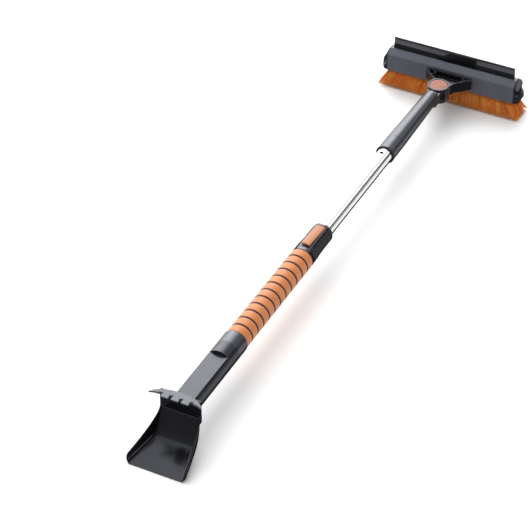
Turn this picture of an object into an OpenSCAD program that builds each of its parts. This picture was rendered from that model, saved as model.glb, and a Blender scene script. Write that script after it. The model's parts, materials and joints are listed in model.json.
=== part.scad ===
// Snow brush and ice scraper on a telescoping pole.
// The tool lies on its bristle tips and its scraper edge: +Z is up, +Y runs along the pole
// towards the brush, X runs along the brush. z = 0 is the ground.

/* [Pole] */
// Height of the pole's centre line above the ground
pole_height = 55; // [54:0.5:58]
// Bare length of the extension tube when it is pulled out
tube_exposed = 228; // [180:1:240]
// Outer diameter of the extension tube
tube_d = 26.8; // [26.4:0.1:27]
// Length of the neck, from its open end to the pivot
neck_length = 214; // [190:1:240]

/* [Handle] */
// Length of the lock collar
lock_length = 75; // [74:0.5:80]
// Length of the foam grip
foam_length = 218; // [200:1:260]
// Outer diameter of the foam grip
foam_d = 38; // [36:0.5:40]
// Number of rings in the foam grip
foam_rings = 12; // [8:1:14]
// Length of the ferrule that closes the handle tube
ferrule_length = 24.5; // [22:0.5:30]

/* [Scraper] */
// Length of the round part of the scraper's arm
arm_round = 25.5; // [24:0.5:30]
// Length of the flat-topped part of the scraper's arm
arm_flat = 115; // [90:1:130]
// Length of the scoop, from the comb to the scraping edge
scoop_length = 78; // [70:1:90]
// Half width of the scoop where it leaves the arm
scoop_neck = 32; // [28:0.5:34]
// Half width of the ice comb, tip to centre line
comb_half = 42; // [38:0.5:46]

/* [Brush head] */
// Distance from the pivot to the front face of the brush housing
pivot_to_face = 49; // [46:0.5:56]
// Length of the housing between its end caps
housing_length = 230; // [200:1:260]
// Depth of the housing from front to back
head_depth = 32; // [30:1:36]
// Length of the squeegee
squeegee_length = 219; // [180:1:224]
// Depth of the bristle field at the tips
bristle_spread = 46; // [40:1:52]
// Half length of the bristle field at the tips
bristle_half = 130; // [120:1:136]

/* [Motion] */
// Downward travel of the pivot button
button_travel = 2.5; // [1.5:0.1:2.5]
// Tilt of the lock lever at rest, released end up
lever_tilt = 4.3; // [3:0.1:4.5]

/* [Hidden] */
$fn = 64;

// Stations along the pole, from the brush back to the scraping edge
overall = pivot_to_face + head_depth / 2 + bristle_spread / 2 + neck_length + tube_exposed
    + lock_length + foam_length + ferrule_length + arm_round + arm_flat + scoop_length;
hub_y = overall / 2 - pivot_to_face - head_depth / 2 - bristle_spread / 2;
face_y = hub_y + pivot_to_face;
neck_end_y = hub_y - neck_length;
lock_front_y = neck_end_y - tube_exposed;
foam_top_y = lock_front_y - lock_length;
foam_bottom_y = foam_top_y - foam_length;
seam_y = foam_bottom_y - ferrule_length;
step_y = seam_y - arm_round;
crest_y = step_y - arm_flat;
edge_y = crest_y - scoop_length;

// Tubes
tube_r = tube_d / 2;
tube_bore_r = tube_r - 1.6;
handle_r = 15;
handle_bore_r = 14;
run = 0.05;
gap = 0.3;
tube_guide = 22;
tube_in_neck = 60;
key_angle = 50;
key_width = 3;
key_depth = 0.7;
shoulder_y = foam_top_y + 19;
handle_top_y = foam_top_y + 17;
tube_rear_y = shoulder_y - gap - tube_guide;
handle_end_y = seam_y + 2.5;

// Lock collar and lever, heights counted from the pole's centre line
collar_r = 15.4;
cup_r = 16.4;
boss_r = 18;
ring_depth = 4.5;
tongue_reach = 9;
tongue_half = 5;
tongue_bottom = -17.4;
lever_front_y = lock_front_y - 9;
lever_length = 55;
lever_half = 7.15;
lever_pivot_y = lever_front_y - 26;
lever_pivot_z = 16.6;
lever_pin_r = 1.2;
lever_lug_r = 1.75;
lever_under = 0.3;
lock_pin_y = lock_front_y - 13.3;
lock_pin_r = 2.4;
lock_pin_tip = -1.1;
lock_pin_head = 1.8;
lock_hole_r = 2.7;
pole_travel = tube_exposed - 1;

// Neck and hub, heights counted from the pole's centre line
neck_r = 15.8;
neck_tip_r = 12.8;
neck_seam_y = neck_end_y + 35;
neck_tip_y = hub_y - 27;
rim_depth = 2.5;
hub_r = 18.5;
knuckle_r = 18.2;
cap_top = 8.3;
cap_floor = 1;
cup_top = -13.2;
cup_bottom = -18.3;
bearing_r = 12.2;
post_r = 3.5;
post_top = 1;
knuckle_top = cap_floor - gap;
knuckle_bottom = cup_top + gap;
button_r = 15.4;
button_top = 7.7;
button_under = cap_floor + 1 + button_travel + gap;
stem_r = 8.4;
gear_top = -1;
gear_bottom = -6;
bearing_top = gear_bottom - button_travel - 0.5;
gear_teeth = 12;
gear_r = 12;

// Bracket
bracket_top = 2;
bracket_bottom = -17;
bracket_half = 41;
bracket_wall = 2.5;
bracket_screw_x = 26;
screw_r = 1.5;
screw_head_r = 2.7;

// Housing, heights counted from the pole's centre line
skirt_z = -25;
face_top = 6.4;
ridge_z = 14;
wall = 2.6;
squeegee_y = face_y + head_depth / 2;
holder_half = 3;
blade_half = 1.8;
lip_half = 0.8;
holder_bottom = 9.7;
holder_top = 22;
blade_bottom = 11;
blade_shoulder = 31.5;
blade_top = 34.2;
clip_from = -17;
clip_to = 41;
base_top = -16.5;
base_bottom = -24.6;
root_half = 11;

// Scraper, heights counted from the pole's centre line
arm_r = 19.8;
flat_z = 13.8;
spigot_r = 12;
spigot_length = 37.5;
flange_depth = 4;
flange_top = 26;
flange_bottom = -20;
comb_thickness = 4.5;
comb_reach = 17;
tooth_pitch = 16;
notch = 3.6;
scoop_wall = 2.6;
edge_thickness = 1;
scoop_stations = 20;
corner_steps = 4;
front_corner = 8;
back_y = crest_y - 1;
scoop_run = back_y - edge_y;

// ---------- helpers ----------

// Children drawn along +Z are laid along the pole, from station y towards the brush
module along_pole(y) {
    translate([0, y, pole_height]) rotate([-90, 0, 0]) children();
}

// Children are placed on the pivot axis, with z counted from the pole's centre line
module at_hub() {
    translate([0, hub_y, pole_height]) children();
}

// Tube along the pole from one station to another
module pole_tube(from, to, outer, inner) {
    along_pole(from) difference() {
        cylinder(r = outer, h = to - from);
        translate([0, 0, -1]) cylinder(r = inner, h = to - from + 2);
    }
}

// Upright tube between two heights
module upright_tube(from, to, outer, inner) {
    translate([0, 0, from]) difference() {
        cylinder(r = outer, h = to - from);
        translate([0, 0, -1]) cylinder(r = inner, h = to - from + 2);
    }
}

// Block between two corners
module block(low, high) {
    translate(low) cube(high - low);
}

// Ring of round wire
module wire_ring(radius, wire) {
    rotate_extrude() translate([radius, 0]) circle(r = wire, $fn = 24);
}

// Pan-head screw pointing along -Z, its head's underside at z = 0, with a cross recess
module screw(shank_r, shank_length, head_r, head_h) {
    translate([0, 0, -shank_length]) cylinder(r = shank_r, h = shank_length);
    difference() {
        cylinder(r = head_r, h = head_h);
        for (a = [0, 90])
            rotate([0, 0, a]) translate([-head_r * 0.6, -head_r * 0.12, head_h * 0.45])
                cube([head_r * 1.2, head_r * 0.24, head_h]);
    }
}

// ---------- handle ----------

module handle_tube() {
    color("silver") pole_tube(handle_end_y, handle_top_y, handle_r, handle_bore_r);
}

// Foam sleeve with a groove between neighbouring rings
module foam_grip() {
    pitch = foam_length / foam_rings;
    groove = 1.1;
    depth = 1.2;
    r = foam_d / 2;
    color("sandybrown") along_pole(foam_bottom_y) rotate_extrude() polygon(concat(
        [[handle_r, 0], [r - depth, 0]],
        [for (i = [0 : foam_rings - 1]) each [
            [r, i * pitch + groove],
            [r, (i + 1) * pitch - groove],
            [r - depth, (i + 1) * pitch]
        ]],
        [[handle_r, foam_length]]
    ));
}

// Ring that closes the handle tube, with the spigot that carries the scraper
module pole_ferrule() {
    color("dimgray") union() {
        pole_tube(seam_y, foam_bottom_y, arm_r, handle_r);
        pole_tube(seam_y, handle_end_y, handle_r, spigot_r - 3);
        pole_tube(handle_end_y, handle_end_y + 4, handle_bore_r, spigot_r - 3);
        difference() {
            pole_tube(seam_y - spigot_length, seam_y, spigot_r, spigot_r - 3);
            arm_screw_hole();
        }
    }
}

// ---------- length lock ----------

// Notch under the collar's front end that takes the neck's tongue when the pole is pushed in
module tongue_notch() {
    half = tongue_half + 0.5;
    block([-half, lock_front_y - tongue_reach + 0.5, pole_height - boss_r - 3],
        [half, lock_front_y + 1, pole_height - tube_r + 1]);
}

module lock_collar() {
    pocket_front = lever_front_y + 1.5;
    pocket_rear = lever_front_y - lever_length - 1.5;
    pocket_half = lever_half + 0.45;
    front_y = lock_front_y - ring_depth;
    color("#2b2d31") translate([0, 0, pole_height]) difference() {
        union() {
            translate([0, 0, -pole_height]) along_pole(foam_top_y) {
                cylinder(r = cup_r, h = shoulder_y - foam_top_y);
                translate([0, 0, shoulder_y - foam_top_y])
                    cylinder(r = collar_r, h = front_y - shoulder_y);
            }
            intersection() {
                block([-10.2, foam_top_y + 1, 6], [10.2, front_y, 20]);
                translate([0, 0, -pole_height]) along_pole(foam_top_y)
                    cylinder(r = boss_r, h = lock_length);
            }
        }
        translate([0, 0, -pole_height]) along_pole(foam_top_y - 1) {
            cylinder(r = handle_r, h = shoulder_y - foam_top_y + 1);
            cylinder(r = tube_r + run, h = lock_length);
        }
        block([-pocket_half, shoulder_y + 1, 14.4], [pocket_half, pocket_front, 24]);
        block([-pocket_half, pocket_rear, 16.1], [pocket_half, shoulder_y + 2, 24]);
        translate([0, lock_pin_y, 10]) cylinder(r = lock_pin_r + 0.6, h = 10);
        translate([-12, lever_pivot_y, lever_pivot_z]) rotate([0, 90, 0])
            cylinder(r = lever_pin_r, h = 24);
        translate([0, 0, -pole_height]) tongue_notch();
    }
}

// Front ring of the collar, with two ribs that run in the extension tube's keyways
module lock_end_ring() {
    color("gray") difference() {
        union() {
            along_pole(lock_front_y - ring_depth) rotate_extrude() polygon([
                [tube_r + run, 0], [boss_r - 0.8, 0], [boss_r - 0.8, ring_depth - 2.2],
                [boss_r - 2.2, ring_depth - 0.3], [boss_r - 2.8, ring_depth], [tube_r + run, ring_depth]
            ]);
            for (side = [-1, 1])
                along_pole(lock_front_y - ring_depth) rotate([0, 0, side * key_angle])
                    translate([-(key_width - 0.6) / 2, -tube_r - 0.8, 0])
                        cube([key_width - 0.6, 1.2, ring_depth]);
        }
        tongue_notch();
    }
}

// Outline radius of the grip pads, counted back from the collar's front ring
function pad_radius(s) = 16.7 + 1.2 / (1 + exp((44 - s) / 4)) + 0.9 * abs(sin(s * 180 / 8.8));

// Rubber pads moulded around the sides and the underside of the collar
module lock_grip_pads() {
    front = 1;
    length = 65;
    step = 1.1;
    shoulder = lock_length - ring_depth - (shoulder_y - foam_top_y);
    count = floor(length / step);
    opening = 42;
    color("#17181a") difference() {
        along_pole(lock_front_y - ring_depth) rotate([0, 0, opening - 90])
            rotate_extrude(angle = 360 - 2 * opening) polygon(concat(
                [for (i = [0 : count]) [pad_radius(front + i * step), -front - i * step]],
                [[cup_r, -front - count * step], [cup_r, -shoulder]],
                [[collar_r, -shoulder], [collar_r, -front]]
            ));
        tongue_notch();
    }
}

module lever_pivot_pin() {
    half = 9;
    color("silver") translate([-half, lever_pivot_y, pole_height + lever_pivot_z]) rotate([0, 90, 0])
        cylinder(r = lever_pin_r, h = 2 * half);
}

// Torsion spring around the pivot pin, in the lever's middle slot
module lever_spring() {
    wire = 0.3;
    color("silver") translate([0, lever_pivot_y, pole_height + lever_pivot_z]) rotate([0, 90, 0])
        for (i = [-2 : 2])
            translate([0, 0, i * (2 * wire + 0.06)]) wire_ring(lever_pin_r + wire + 0.05, wire);
}

// Rocking lever: its raised rear end is pressed and its front end lifts the lock pin
module lock_lever() {
    rear = lever_front_y - lever_length - lever_pivot_y;
    color("#e2a274") at_lever() difference() {
        union() {
            intersection() {
                block([-lever_half, rear, lever_under], [lever_half, rear + lever_length, 4]);
                translate([0, rear, -lever_pivot_z]) rotate([-90, 0, 0])
                    cylinder(r = boss_r + 1.8, h = lever_length);
            }
            translate([-lever_half, 0, 0]) rotate([0, 90, 0]) cylinder(r = lever_lug_r, h = 2 * lever_half);
        }
        translate([-lever_half - 1, 0, 0]) rotate([0, 90, 0])
            cylinder(r = lever_pin_r + run, h = 2 * lever_half + 2);
        block([-2.2, -2.8, -3], [2.2, 2.8, 2.2]);
        translate([0, lock_pin_y - lever_pivot_y, -3]) cylinder(r = lock_pin_r, h = 3 + lock_pin_head);
    }
}

// Children are drawn around the lever's pivot, tilted with it
module at_lever() {
    translate([0, lever_pivot_y, pole_height + lever_pivot_z]) rotate([-lever_tilt, 0, 0]) children();
}

// Pin pressed into the lever; its tip stops just above the extension tube
module lock_pin() {
    color("silver") at_lever() translate([0, lock_pin_y - lever_pivot_y, lock_pin_tip])
        cylinder(r = lock_pin_r, h = lock_pin_head - lock_pin_tip);
}

// ---------- extension tube and neck ----------

module extension_tube() {
    length = neck_end_y + tube_in_neck - tube_rear_y;
    color("whitesmoke") difference() {
        pole_tube(tube_rear_y, tube_rear_y + length, tube_r, tube_bore_r);
        for (side = [-1, 1])
            along_pole(tube_rear_y - 1) rotate([0, 0, side * key_angle])
                translate([-key_width / 2, -tube_r - 1, 0])
                    cube([key_width, 1 + key_depth, length + 2]);
        for (y = [lock_pin_y, lock_pin_y + pole_travel])
            translate([0, y, pole_height]) cylinder(r = lock_hole_r, h = tube_r + 1);
    }
}

// Plastic sleeve and cap on the tube's inner end; it stops the tube at the collar's shoulder
module tube_guide_bushing() {
    cap = 2.5;
    color("#202124") union() {
        pole_tube(tube_rear_y, tube_rear_y + tube_guide, handle_bore_r - run, tube_r);
        pole_tube(tube_rear_y - cap, tube_rear_y, handle_bore_r - run, 6);
        pole_tube(tube_rear_y - cap, tube_rear_y + 10, tube_bore_r, tube_bore_r - 2);
    }
}

// Rim with a tongue under the tube, which slips into the collar's notch
module neck_end_rim() {
    color("#17181a") difference() {
        union() {
            along_pole(neck_end_y) cylinder(r = neck_r + 0.4, h = rim_depth);
            block([-tongue_half, neck_end_y - tongue_reach, pole_height + tongue_bottom],
                [tongue_half, neck_end_y + rim_depth, pole_height - tube_r + 1]);
        }
        along_pole(neck_end_y - tongue_reach - 1) cylinder(r = tube_r, h = tongue_reach + 10);
        along_pole(neck_end_y - tongue_reach - 1) cylinder(r = tube_r + gap, h = tongue_reach + 1);
    }
}

// Straight sleeve that holds the tube, with a rib that carries on from the tongue
module neck_socket() {
    color("gray") difference() {
        union() {
            pole_tube(neck_end_y + rim_depth, neck_seam_y, neck_r, tube_r);
            block([-tongue_half, neck_end_y + rim_depth, pole_height + tongue_bottom],
                [tongue_half, neck_end_y + 12, pole_height - tube_r - 0.1]);
        }
        along_pole(neck_end_y - 1) cylinder(r = tube_r, h = 40);
    }
}

// Tapering neck with the lower half of the pivot fork
module neck_arm() {
    color("gray") difference() {
        union() {
            along_pole(neck_seam_y) rotate_extrude() polygon([
                [0, 0], [neck_r - 0.3, 0], [neck_r, 0.6], [neck_r, 4],
                [neck_tip_r, neck_tip_y - neck_seam_y - 4], [neck_tip_r - 0.6, neck_tip_y - neck_seam_y],
                [neck_tip_r - 2, neck_tip_y - neck_seam_y + 4],
                [neck_tip_r - 4.2, neck_tip_y - neck_seam_y + 7],
                [neck_tip_r - 5, hub_y - 17 - neck_seam_y], [0, hub_y - 17 - neck_seam_y]
            ]);
            at_hub() {
                block([-neck_tip_r + 1.5, -34, -12], [neck_tip_r - 1.5, -17, 5]);
                block([-9, -32, cup_bottom + 1.5], [9, -12, cup_top]);
                block([-9, -26, cup_bottom + 1.5], [9, -18.6, -8]);
                translate([0, 0, cup_bottom]) cylinder(r = hub_r, h = cup_top - cup_bottom);
            }
        }
        along_pole(neck_seam_y - 1) cylinder(r = tube_r, h = neck_end_y + tube_in_neck - neck_seam_y + 1);
        along_pole(neck_seam_y) cylinder(r = tube_bore_r - 1.4, h = neck_tip_y - 15 - neck_seam_y);
        at_hub() {
            translate([0, 0, cup_top]) cylinder(r = hub_r + 0.3, h = 40);
            block([-8, -27, cap_floor], [8, -16, 20]);
            translate([0, 0, cup_bottom - 1]) cylinder(r = screw_r, h = 10);
            translate([0, 0, cup_bottom - 1]) cylinder(r = screw_head_r + 0.4, h = 3.2);
            cap_screw_places() translate([0, 0, -20]) cylinder(r = 1, h = 20);
        }
    }
    color("gray") at_hub() {
        upright_tube(cup_top, bearing_top, bearing_r, bearing_r - 4);
        upright_tube(cup_top, post_top, post_r, screw_r);
    }
}

module cap_screw_places() {
    for (x = [-4.4, 4.4]) translate([x, -23, 5]) children();
}

// Upper half of the pivot fork: a ring around the button, with a tongue screwed to the neck
module hub_cap() {
    color("#2b2d31") at_hub() difference() {
        union() {
            translate([0, 0, cap_floor]) rotate_extrude() polygon([
                [0, 0], [hub_r - 0.9, 0], [hub_r - 0.9, 3], [hub_r, 3.8], [hub_r, 6.7],
                [hub_r - 0.6, cap_top - cap_floor], [0, cap_top - cap_floor]
            ]);
            block([-8, -27, cap_floor], [8, -12, 5]);
        }
        translate([0, 0, cap_floor + 1]) cylinder(r = button_r + 0.6, h = 20);
        translate([0, 0, -1]) cylinder(r = stem_r + run, h = 20);
        cap_screw_places() translate([0, 0, -6]) cylinder(r = 1, h = 10);
    }
}

module cap_screws() {
    color("silver") at_hub() cap_screw_places() screw(1, 9, 1.9, 1.1);
}

module pivot_screw() {
    color("silver") at_hub() translate([0, 0, cup_bottom + 2.2]) rotate([180, 0, 0])
        screw(screw_r, 14, screw_head_r, 1.8);
}

// Return spring of the button, around the post
module button_spring() {
    wire = 0.5;
    turns = 5;
    height = gear_bottom - cup_top;
    color("silver") at_hub() for (i = [0 : turns - 1])
        translate([0, 0, cup_top + wire + i * (height - 2 * wire) / (turns - 1)])
            wire_ring(5.6, wire);
}

// Push button: a disc on a hollow stem that slides on the post
module pivot_button() {
    color("#e19682") at_hub() difference() {
        union() {
            translate([0, 0, button_under]) rotate_extrude() polygon([
                [0, 0], [button_r - 0.3, 0], [button_r, 0.3], [button_r, button_top - button_under - 0.5],
                [button_r - 0.5, button_top - button_under], [0, button_top - button_under]
            ]);
            translate([0, 0, gear_top]) cylinder(r = stem_r, h = button_under - gear_top);
        }
        translate([0, 0, gear_top - 1]) cylinder(r = post_r + run, h = 6.4);
    }
}

// Toothed wheel under the button; its teeth stop just short of the knuckle's notches
module index_gear() {
    color("darkgray") at_hub() difference() {
        union() {
            translate([0, 0, gear_bottom]) cylinder(r = gear_r - 1.2, h = gear_top - gear_bottom);
            for (i = [0 : gear_teeth - 1])
                rotate([0, 0, i * 360 / gear_teeth])
                    block([gear_r - 3, -1.1, gear_bottom], [gear_r - 0.1, 1.1, gear_top]);
        }
        translate([0, 0, gear_bottom - 1]) cylinder(r = post_r + run, h = gear_top - gear_bottom + 2);
    }
}

// ---------- brush head ----------

// Plan of the bracket's frame, counted from the pivot
module bracket_plan() {
    polygon([
        [-15, 12], [15, 12], [19, 23], [bracket_half, pivot_to_face - 4.5],
        [bracket_half, pivot_to_face], [-bracket_half, pivot_to_face],
        [-bracket_half, pivot_to_face - 4.5], [-19, 23]
    ]);
}

module bracket_window() {
    polygon([
        [-18.5, 25.5], [18.5, 25.5], [bracket_half - 3, pivot_to_face - bracket_wall],
        [3 - bracket_half, pivot_to_face - bracket_wall]
    ]);
}

// Knuckle that turns in the fork, and the frame that carries the brush housing
module pivot_bracket() {
    notch_r = 1.6;
    color("#1d1e21") at_hub() difference() {
        union() {
            translate([0, 0, bracket_bottom]) linear_extrude(bracket_top - bracket_bottom) bracket_plan();
            translate([0, 0, knuckle_bottom]) cylinder(r = knuckle_r, h = knuckle_top - knuckle_bottom);
        }
        translate([0, 0, knuckle_top]) cylinder(r = hub_r + 0.5, h = 20);
        translate([0, 0, knuckle_bottom - 20]) cylinder(r = hub_r + 0.5, h = 20);
        translate([0, 0, -8]) linear_extrude(20) bracket_window();
        translate([0, 0, -31]) linear_extrude(20) bracket_window();
        translate([0, 0, knuckle_bottom - 1]) cylinder(r = bearing_r + run, h = 20);
        for (i = [0 : gear_teeth - 1])
            rotate([0, 0, i * 360 / gear_teeth]) translate([bearing_r + 0.6, 0, bearing_top + 1])
                cylinder(r = notch_r, h = 20);
        bracket_screw_places() translate([0, 0, -6]) cylinder(r = screw_r, h = 12);
    }
}

// Screw places: local +Z points out of the bracket's back wall, towards the pivot
module bracket_screw_places() {
    for (x = [-bracket_screw_x, bracket_screw_x], z = [-2.8, -14])
        translate([x, pivot_to_face - bracket_wall, z]) rotate([90, 0, 0]) children();
}

module bracket_screws() {
    color("silver") at_hub() bracket_screw_places() screw(screw_r, bracket_wall + wall, screw_head_r, 1.6);
}

// Outline of the housing's section: depth from the front face, height
function housing_outline(inset) = [
    [inset, skirt_z], [inset, face_top - 2.2], [inset + 0.7, face_top - 0.8 - inset * 0.5],
    [inset + 2.2, face_top + 0.6 - inset], [head_depth / 2 - 5, ridge_z - inset * 1.2],
    [head_depth / 2 + 5, ridge_z - inset * 1.2], [head_depth - inset - 2.2, face_top + 0.6 - inset],
    [head_depth - inset - 0.7, face_top - 0.8 - inset * 0.5], [head_depth - inset, face_top - 2.2],
    [head_depth - inset, skirt_z]
];

// A section in depth and height, drawn out along X between two stations
module along_brush(from, to) {
    translate([from, face_y, pole_height]) rotate([90, 0, 90]) linear_extrude(to - from) children();
}

module brush_housing() {
    half = housing_length / 2;
    color("#54585f") difference() {
        along_brush(-half, half) polygon(housing_outline(0));
        along_brush(-half - 1, half + 1) difference() {
            translate([0, -0.01]) polygon(housing_outline(wall));
            translate([head_depth / 2 - 6, holder_bottom - 2.2]) square([12, 10]);
        }
        block([-squeegee_length / 2, squeegee_y - holder_half, pole_height + holder_bottom],
            [squeegee_length / 2, squeegee_y + holder_half, pole_height + 30]);
        at_hub() bracket_screw_places() translate([0, 0, -6]) cylinder(r = screw_r, h = 12);
    }
}

// End caps: a fin that flares into a lug, with a finger dent at the front and at the back
module housing_end_caps() {
    dent_r = 10;
    color("#1d1e21") for (side = [0, 1]) mirror([side, 0, 0])
        translate([housing_length / 2, face_y, pole_height]) difference() {
            intersection() {
                translate([0, head_depth, 0]) rotate([90, 0, 0]) linear_extrude(head_depth) polygon([
                    [0, skirt_z], [6.5, skirt_z], [9.5, -23], [11.5, -20], [12, -17], [12, -9], [11, -6.6],
                    [8.6, -4.8], [6.4, -2], [4.6, 2.6], [2.8, 8], [1.6, ridge_z - 1.5], [0, ridge_z]
                ]);
                translate([0, 0, skirt_z - 1]) linear_extrude(60) polygon([
                    [0, 0], [4, 0.3], [7, 1.6], [10, 5], [12, 10],
                    [12, head_depth - 10], [10, head_depth - 5], [7, head_depth - 1.6],
                    [4, head_depth - 0.3], [0, head_depth]
                ]);
                rotate([90, 0, 90]) linear_extrude(20) polygon(housing_outline(0));
            }
            for (y = [1, head_depth - 1])
                translate([11.7, y, -8.5]) sphere(r = dent_r, $fn = 48);
        }
}

// Plate that holds the tufts, clipped into the underside of the housing
module bristle_base() {
    half = housing_length / 2 - 1;
    color("#202124") translate([0, face_y, pole_height])
        block([-half, wall, base_bottom], [half, head_depth - wall, base_top]);
}

// Envelope of the bristle field, spreading towards the ground
module bristles() {
    root_x = housing_length / 2 - 1;
    color("#d9772b") translate([0, squeegee_y, 0]) hull() {
        block([-root_x, -root_half, pole_height + base_bottom - 1],
            [root_x, root_half, pole_height + base_bottom]);
        block([-bristle_half, -bristle_spread / 2, 0], [bristle_half, bristle_spread / 2, 2]);
    }
}

module squeegee_holder() {
    color("black") translate([0, squeegee_y, pole_height]) difference() {
        block([-squeegee_length / 2, -holder_half, holder_bottom],
            [squeegee_length / 2, holder_half, holder_top]);
        block([-squeegee_length / 2 - 1, -blade_half, blade_bottom],
            [squeegee_length / 2 + 1, blade_half, holder_top + 1]);
    }
}

module squeegee_blade() {
    color("#3a3c40") translate([0, squeegee_y, pole_height]) union() {
        block([-squeegee_length / 2, -blade_half, blade_bottom],
            [squeegee_length / 2, blade_half, blade_shoulder]);
        block([-squeegee_length / 2, -lip_half, blade_shoulder],
            [squeegee_length / 2, lip_half, blade_top]);
    }
}

// Two cheeks that clamp the blade in its holder, cut away at one upper corner
module squeegee_clip() {
    slope = 12;
    clip_top = blade_top - 1.6;
    outer = holder_half + 1.4;
    color("black") translate([0, squeegee_y, pole_height]) difference() {
        intersection() {
            translate([0, outer, 0]) rotate([90, 0, 0]) linear_extrude(2 * outer) polygon([
                [clip_from, ridge_z + 0.2], [clip_to, ridge_z + 0.2], [clip_to, clip_top],
                [clip_from + slope, clip_top], [clip_from, holder_top + 2]
            ]);
            translate([clip_from - 1, 0, 0]) rotate([90, 0, 90]) linear_extrude(clip_to - clip_from + 2)
                polygon([
                    [-outer, ridge_z], [outer, ridge_z], [outer, holder_top + 1.5],
                    [blade_half + 0.9, clip_top + 1], [-blade_half - 0.9, clip_top + 1],
                    [-outer, holder_top + 1.5]
                ]);
        }
        block([clip_from - 1, -holder_half, 0], [clip_to + 1, holder_half, holder_top]);
        block([clip_from - 1, -blade_half, 0], [clip_to + 1, blade_half, blade_top + 1]);
    }
}

// ---------- scraper ----------

module arm_screw_hole() {
    translate([0, seam_y - 14, pole_height - arm_r - 1]) cylinder(r = 1.6, h = 14);
}

// Arm: a round socket, then a flat-topped beam open underneath
module scraper_arm() {
    flat_run = step_y - crest_y;
    cavity = 3.2;
    wave = 27.4;
    arm_end_y = crest_y + flange_depth - 1;
    color("dimgray") difference() {
        along_pole(arm_end_y) cylinder(r = arm_r, h = seam_y - arm_end_y);
        block([-30, crest_y - 1, pole_height + flat_z], [30, step_y, pole_height + 30]);
        along_pole(seam_y - spigot_length) cylinder(r = spigot_r, h = spigot_length + 1);
        difference() {
            along_pole(crest_y + 8) cylinder(r = arm_r - cavity, h = flat_run - 24);
            block([-30, crest_y, pole_height + flat_z - cavity], [30, step_y, pole_height + 30]);
        }
        block([-11, crest_y + 8, pole_height - 30], [11, crest_y + flat_run - 16, pole_height - 5]);
        arm_screw_hole();
        translate([0, seam_y - 14, pole_height - arm_r - 1]) cylinder(r = 3.2, h = 5);
        for (i = [0 : 4])
            translate([-30, step_y - 22 - i * 17, pole_height - arm_r + 1.4 - wave]) rotate([0, 90, 0])
                cylinder(r = wave, h = 60);
    }
}

// Back wall of the scoop, between it and the arm, round at its lower corners
module scoop_back() {
    r = 10;
    color("#101114") translate([0, crest_y + flange_depth - 1, pole_height]) rotate([90, 0, 0])
        linear_extrude(flange_depth) union() {
            translate([-scoop_neck, flange_bottom + r])
                square([2 * scoop_neck, flange_top - flange_bottom - r]);
            translate([-scoop_neck + r, flange_bottom]) square([2 * scoop_neck - 2 * r, r + 1]);
            for (side = [-1, 1])
                translate([side * (scoop_neck - r), flange_bottom + r]) circle(r = r);
        }
}

module arm_screw() {
    color("silver") translate([0, seam_y - 14, pole_height - arm_r + 4]) rotate([180, 0, 0])
        screw(1.6, 8, 3, 1.8);
}

// Scoop: rim height, floor height, half width and thickness at distance d from the arm
function scoop_front(d) = max(0, d - scoop_run + 11) / 11;
function scoop_floor(d) = -4 - 38 * (1 - exp(-d / 7)) - 12 * d / scoop_run;
function scoop_thick(d) = edge_thickness + (scoop_wall - edge_thickness) * (1 - scoop_front(d));
function scoop_rim(d) = let (f = scoop_front(d), low = scoop_floor(d) + 0.4)
    low + (-45 * pow(d / scoop_run, 0.55) - low) * sqrt(1 - min(1, f * f));
function scoop_half(d) = let (c = max(0, d - scoop_run + front_corner))
    scoop_neck + 0.219 * d - front_corner + sqrt(front_corner * front_corner - c * c * 0.98);

// Half of a U section from the rim down to the floor, with a rounded corner
function half_u(half, rim, floor, r) = concat(
    [[half, rim]],
    [for (i = [0 : corner_steps]) let (a = 90 * i / corner_steps)
        [half - r + r * cos(a), floor + r - r * sin(a)]]
);
function mirrored(points) = [for (i = [len(points) - 1 : -1 : 0]) [-points[i][0], points[i][1]]];

// Closed section of the scoop's wall at distance d
function scoop_section(d) =
    let (
        rim = scoop_rim(d), floor = scoop_floor(d), t = scoop_thick(d), half = scoop_half(d),
        r = min(7, (rim - floor) * 0.8),
        outer = half_u(half, rim, floor - t, min(7 + t, (rim - floor + t) * 0.8)),
        inner = half_u(half - t, rim, floor, r)
    )
    concat(
        outer, mirrored(outer),
        [for (p = inner) [-p[0], p[1]]],
        [for (i = [len(inner) - 1 : -1 : 0]) inner[i]]
    );

module scraper_scoop() {
    sections = [for (i = [0 : scoop_stations])
        let (u = i / scoop_stations, d = scoop_run * (1 - pow(1 - u, 1.35))) [d, scoop_section(d)]];
    count = len(sections[0][1]);
    points = [for (s = sections) for (p = s[1]) [p[0], back_y - s[0], pole_height + p[1]]];
    sides = [for (k = [0 : scoop_stations - 1]) for (j = [0 : count - 1]) let (m = (j + 1) % count)
        each [
            [k * count + j, k * count + m, (k + 1) * count + m],
            [k * count + j, (k + 1) * count + m, (k + 1) * count + j]
        ]];
    half_count = count / 2;
    near = [for (j = [0 : half_count - 2]) each [
        [j, count - 1 - j, j + 1], [j + 1, count - 1 - j, count - 2 - j]]];
    last = scoop_stations * count;
    far = [for (t = near) [t[0] + last, t[2] + last, t[1] + last]];
    color("#101114") polyhedron(points, concat(sides, near, far), convexity = 6);
}

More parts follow.
